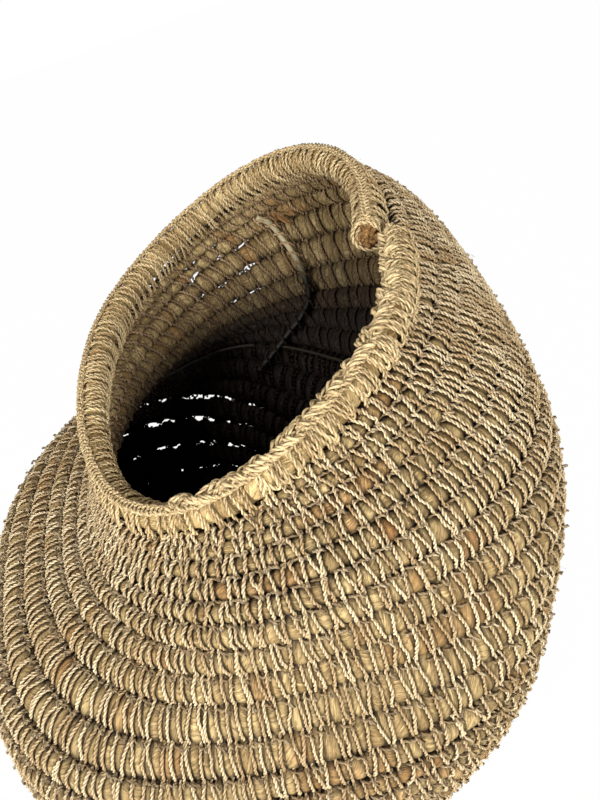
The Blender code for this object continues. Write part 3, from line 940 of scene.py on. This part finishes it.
def makeHooks():
    step = math.degrees(hook["spacing"] / shape["mouthRadius"])
    degrees = np.arange(hook["from"], hook["to"], step)
    count = len(degrees)
    place = rimFrame(np.radians(degrees + rng.normal(0, 1.1, count)))
    down = rng.uniform(0.2, 1.0, (count, 1))
    share = np.linspace(0, 1, 40)[None, :]
    arch = np.sin(np.pi * share) ** 0.8
    turn = hook["turn"] + (1.65 + 0.35 * down) * arch + 0.08 * rng.normal(0, 1, (count, 1))
    reach = rim["coreRadius"] + 0.0016 + hook["reach"] * arch * down + 0.0010 * np.sin(2 * np.pi * share)
    slide = hook["spread"] * np.cos(np.pi * share) * rng.uniform(0.6, 1.2, (count, 1))
    slide = slide + 0.0016 * arch * rng.normal(0, 1, (count, 1))
    outward = rimDirections(place, turn)
    paths = moved(place["middle"], (outward, reach), (place["along"], slide))
    radius = hook["radius"] * rng.uniform(0.8, 1.15, count)
    twinePiece("near_rim_loops", paths, outward, radius, rng.uniform(0.4, 1, count), "rimTwine", "fine", 1.6)


# The open end of the rim bundle: leaf stalks cut square, with a ring of twine round them
cutEnd = {"stalks": 30, "stalkRadius": 0.0013, "bundle": 0.0063, "proud": 0.0016, "length": 0.010, "rings": 3,
          "ringRadius": 0.0083, "ringTwine": 0.0013, "ringPitch": 0.0021, "tilt": 30.0, "forward": 0.0030,
          "spin": 2.39996}


def makeCutEnd():
    place = pick(rimFrame(rimSpan(rim["endGap"], 2)[:1]), 0)
    count = cutEnd["stalks"]
    spin = np.arange(count) * cutEnd["spin"] + rng.uniform(-0.2, 0.2, count)
    out = cutEnd["bundle"] * np.sqrt((np.arange(count) + 0.3) / count)
    tilt = math.radians(cutEnd["tilt"])
    axis = -place["along"] * math.cos(tilt) - place["down"] * math.sin(tilt)
    across = place["side"]
    upright = np.cross(across, axis)
    middle = place["middle"] + axis * cutEnd["forward"]
    spots = middle + upright * (out * np.cos(spin))[:, None] + across * (out * np.sin(spin))[:, None]
    tip = rng.uniform(-0.6, 1.0, (count, 1, 1)) * cutEnd["proud"]
    share = np.linspace(0, 1, 5)[None, :, None]
    paths = spots[:, None, :] + axis * (tip - cutEnd["length"] * (1 - share))
    leafPiece("cut_end", paths, place["down"], cutEnd["stalkRadius"] * rng.uniform(0.7, 1.2, (count, 1)), 8,
              "endLeaf", 0.8)
    turn = np.linspace(0, 2 * np.pi * cutEnd["rings"], 42 * cutEnd["rings"])
    outward = upright * np.cos(turn)[:, None] + across * np.sin(turn)[:, None]
    reach = cutEnd["ringRadius"] + 0.0006 * smoothNoise(turn, 1.1)
    path = middle + outward * reach[:, None] - axis * (cutEnd["ringPitch"] * turn / (2 * np.pi))[:, None]
    twinePiece("cut_end_ring", path[None], outward[None], cutEnd["ringTwine"], 0.8, "rimTwine", "fine", 1.5)


makeRimCore()
makeWraps()
makePlaits()
makeHooks()
makeCutEnd()
print("rim wrapped")

# Cane rib up the back of the neck, its lashing, and the thin hoop at the foot of the neck
# The dark laps are where the rib and its lashing fade into painted shade
inside = {"ribRadius": 0.0021, "ribTop": 29.0, "ribFoot": 20.0, "ribLean": 2.5, "ribBow": 6.0, "bowLap": 23.8,
          "darkLaps": (26.6, 24.9), "clearance": 0.0012, "lashingPitch": 0.0085, "lashingRadius": 0.0009,
          "hoopRadius": 0.0011, "hoopShare": 0.56, "hoopClearance": 0.001, "hoopGap": 0.0048}


# A point on the wall with the directions out, up and along, from a table of points and a step in it
def sideFrame(pointAt, place, step, angle):
    up = unit(pointAt(place + step, angle) - pointAt(place - step, angle))
    ahead = unit(pointAt(place, angle - 0.05) - pointAt(place, angle + 0.05))
    return pointAt(place, angle), unit(np.cross(up, ahead)), up, ahead


def ribPath(count):
    laps = np.linspace(inside["ribFoot"], inside["ribTop"], count)
    lean = inside["ribLean"] + inside["ribBow"] * hump(laps - inside["bowLap"], 3.0)
    point, out, up, _ = sideFrame(lapPoint, laps, 0.5, np.radians(shape["ribAngle"] - lean))
    stand = shape["coreThickness"] / 2 + inside["ribRadius"] + inside["clearance"]
    # Last comes painted shade, strongest low on the rib
    return point - out * stand, out, up, smoothStep(laps, *inside["darkLaps"])


def makeRib():
    line, out, _, dark = ribPath(60)
    bend = inside["ribRadius"] * (1 + 0.06 * smoothNoise(np.linspace(0, 1, 60), 0.08))
    # The rib fades into painted shade lower down
    leafPiece("cane_rib", line[None], out[None], bend[None], 12, "splitCane", 1.0, ("inner_rib",), 0.3, dark)


def makeLashing():
    line, out, up, dark = ribPath(620)
    arc = lengthsAlong(line)
    turn = 2 * np.pi * arc / inside["lashingPitch"] + 0.8 * smoothNoise(arc, 0.012)
    reach = inside["ribRadius"] + 0.0008 + 0.0035 * np.maximum(np.cos(turn), 0) ** 3
    radial = out * np.cos(turn)[:, None] + np.cross(out, up) * np.sin(turn)[:, None]
    path = line + radial * reach[:, None]
    # The lashing fades into painted shade lower down
    twinePiece("rib_binding", path[None], radial[None], inside["lashingRadius"], 0.9, "shadedInnerTwine", "fine",
               1.0, dark[None], ("rib_lashing_1", "rib_lashing_2", "rib_lashing_3", "rib_lashing_4"))


def makeHoop():
    half = inside["hoopGap"] / shape["mouthRadius"]
    start = math.radians(shape["ribAngle"])
    angle = np.linspace(start + half, start + 2 * np.pi - half, 240)
    point, out, _, _ = sideFrame(wallPoint, inside["hoopShare"] * np.ones_like(angle), 0.02, angle)
    path = point - out * (shape["coreThickness"] / 2 + inside["hoopRadius"] + inside["hoopClearance"])
    # The hoop is nearly all painted shade
    leafPiece("cane_hoop", path[None], out[None], inside["hoopRadius"], 10, "splitCane", 1.0,
              ("throat_hoop",), 0.6, 0.97)


# Dry leaf ends that stick out of the wall beside the top of the rib
tuft = {"blades": 12, "angle": 70.0, "share": 0.873, "length": 0.011, "radius": 0.0016, "depth": 0.0052}


def makeTuft():
    count = tuft["blades"]
    angle = np.radians(tuft["angle"] + rng.uniform(-3.5, 3.5, count))
    share = tuft["share"] + rng.uniform(-0.012, 0.012, count)
    point, out, up, ahead = sideFrame(wallPoint, share, 0.02, angle)
    reach = (tuft["length"] * rng.uniform(0.5, 1.1, count))[:, None, None]
    aim = unit(-out * rng.uniform(0.2, 0.7, (count, 1)) - up * rng.uniform(0.2, 1.2, (count, 1))
               + ahead * rng.normal(0, 0.7, (count, 1)))
    steps = np.linspace(0, 1, 8)[None, :, None]
    bend = rng.normal(0, 0.4, (count, 1, 3))
    paths = (point - out * tuft["depth"])[:, None, :] + aim[:, None, :] * (reach * steps) + bend * reach * steps ** 2
    taper = tuft["radius"] * np.linspace(1.0, 0.35, 8)[None, :] * rng.uniform(0.6, 1.2, (count, 1))
    leafPiece("leaf_tuft", paths, -out[:, None, :], taper, 8, "endLeaf", 0.3)


makeRib()
makeLashing()
makeHoop()
makeTuft()
print("inside pieces tied")

# Short broken fibres that stand off the twine
fuzz = {"count": 1100, "shortest": 0.0012, "longest": 0.0042, "thin": 0.00006, "thick": 0.00013}


def makeFibres():
    which = rng.choice(np.flatnonzero(allStitches > 9.5), fuzz["count"], replace=False)
    rows = coilFrame(stitchPlace[which])
    rows = pick(rows, rows["height"] > core["leastHeight"])
    count = len(rows["lap"])
    start = np.stack([np.full(count, core["halfDepth"] + 0.0006), rng.uniform(-0.45, 0.4, count) * rows["height"],
                      rng.normal(0, 0.002, count)], -1)
    reach = fuzz["shortest"] + (fuzz["longest"] - fuzz["shortest"]) * rng.random((count, 1)) ** 2.5
    aim = unit(np.stack([rng.uniform(0.1, 1.0, count), rng.normal(0, 0.8, count), rng.normal(0, 1.0, count)], -1))
    bend = rng.normal(0, 0.45, (count, 3))
    steps = np.linspace(0, 1, 6)[None, :, None]
    start, aim, bend, reach = (v[:, None, :] for v in (start, aim, bend, reach))
    paths = inFrame(rows, start + aim * reach * steps + bend * reach * steps ** 2)
    radius = rng.uniform(fuzz["thin"], fuzz["thick"], count)
    twinePiece("loose_fibres", paths, rows["up"][:, None, :], radius, rng.uniform(0.5, 1, count), "strawTwine", "hair")


makeFibres()
print("loose fibres added")

# Floor, light and camera
studio = {"floorSize": 60.0, "floorColour": (0.93, 0.93, 0.92), "floorRoughness": 0.9, "cameraWhite": 0.99,
          "white": (1.0, 1.0, 1.0, 1.0), "worldColour": (1.0, 0.80, 0.55, 1.0), "worldStrength": 0.11,
          "lampColour": (1.0, 0.97, 0.92), "aim": (0.0, 0.0, 0.17)}
lamps = (("key", (0.34, -1.35, 0.40), 0.5, 20.5), ("left", (-0.95, -1.0, 0.55), 0.5, 18.0),
         ("top", (-0.2, -0.2, 1.4), 0.8, 5.0))
view = {"place": (0.0468, -0.4128, 0.4281), "right": (0.94, -0.161, -0.301), "back": (0.0, -0.881, 0.473),
        "lens": {"sensor_width": 36.0, "lens": 36.65, "shift_x": -0.0023, "shift_y": 0.028, "clip_start": 0.01}}


def makeFloor():
    half = studio["floorSize"] / 2
    mesh = bpy.data.meshes.new("floor")
    mesh.from_pydata([(-half, -half, 0), (half, -half, 0), (half, half, 0), (-half, half, 0)], [], [(0, 1, 2, 3)])
    floor = addObject("floor", mesh)
    material = bpy.data.materials.new("paleFloor")
    material.use_nodes = True
    tree = material.node_tree
    shader = tree.nodes["Principled BSDF"]
    shader.inputs["Base Color"].default_value = linear(studio["floorColour"])
    shader.inputs["Roughness"].default_value = studio["floorRoughness"]
    shine = addNode(tree, "Emission", {"Color": studio["white"], "Strength": 1.0})
    seen = addNode(tree, "LightPath").outputs["Is Camera Ray"]
    amount = mathNode(tree, "MULTIPLY", seen, studio["cameraWhite"])
    mixed = addNode(tree, "MixShader", {0: amount, 1: shader.outputs[0], 2: shine.outputs[0]})
    tree.links.new(mixed.outputs[0], tree.nodes["Material Output"].inputs["Surface"])
    mesh.materials.append(material)


def areaLight(name, place, size, power):
    data = bpy.data.lights.new(name, "AREA")
    data.shape = "DISK"
    data.size = size
    data.energy = power
    data.color = studio["lampColour"]
    light = addObject(name, data)
    light.location = place
    light.rotation_euler = (Vector(studio["aim"]) - Vector(place)).to_track_quat("-Z", "Y").to_euler()


def makeWorld():
    world = bpy.data.worlds.new("studio")
    bpy.context.scene.world = world
    world.use_nodes = True
    tree = world.node_tree
    background = tree.nodes["Background"]
    seen = addNode(tree, "LightPath").outputs["Is Camera Ray"]
    tree.links.new(mixColour(tree, seen, studio["worldColour"], studio["white"]), background.inputs["Color"])
    strength = scaled(tree, seen, 1.0 - studio["worldStrength"], studio["worldStrength"])
    tree.links.new(strength, background.inputs["Strength"])


def makeCamera():
    data = bpy.data.cameras.new("camera")
    for key, value in view["lens"].items():
        setattr(data, key, value)
    camera = addObject("camera", data)
    right, back = Vector(view["right"]).normalized(), Vector(view["back"]).normalized()
    up = back.cross(right).normalized()
    turn = Matrix((right, up, back)).transposed().to_4x4()
    camera.matrix_world = Matrix.Translation(view["place"]) @ turn
    bpy.context.scene.camera = camera


makeFloor()
for lamp in lamps:
    areaLight(*lamp)
makeWorld()
makeCamera()
bpy.context.scene.view_settings.view_transform = "Standard"
print("stage set")
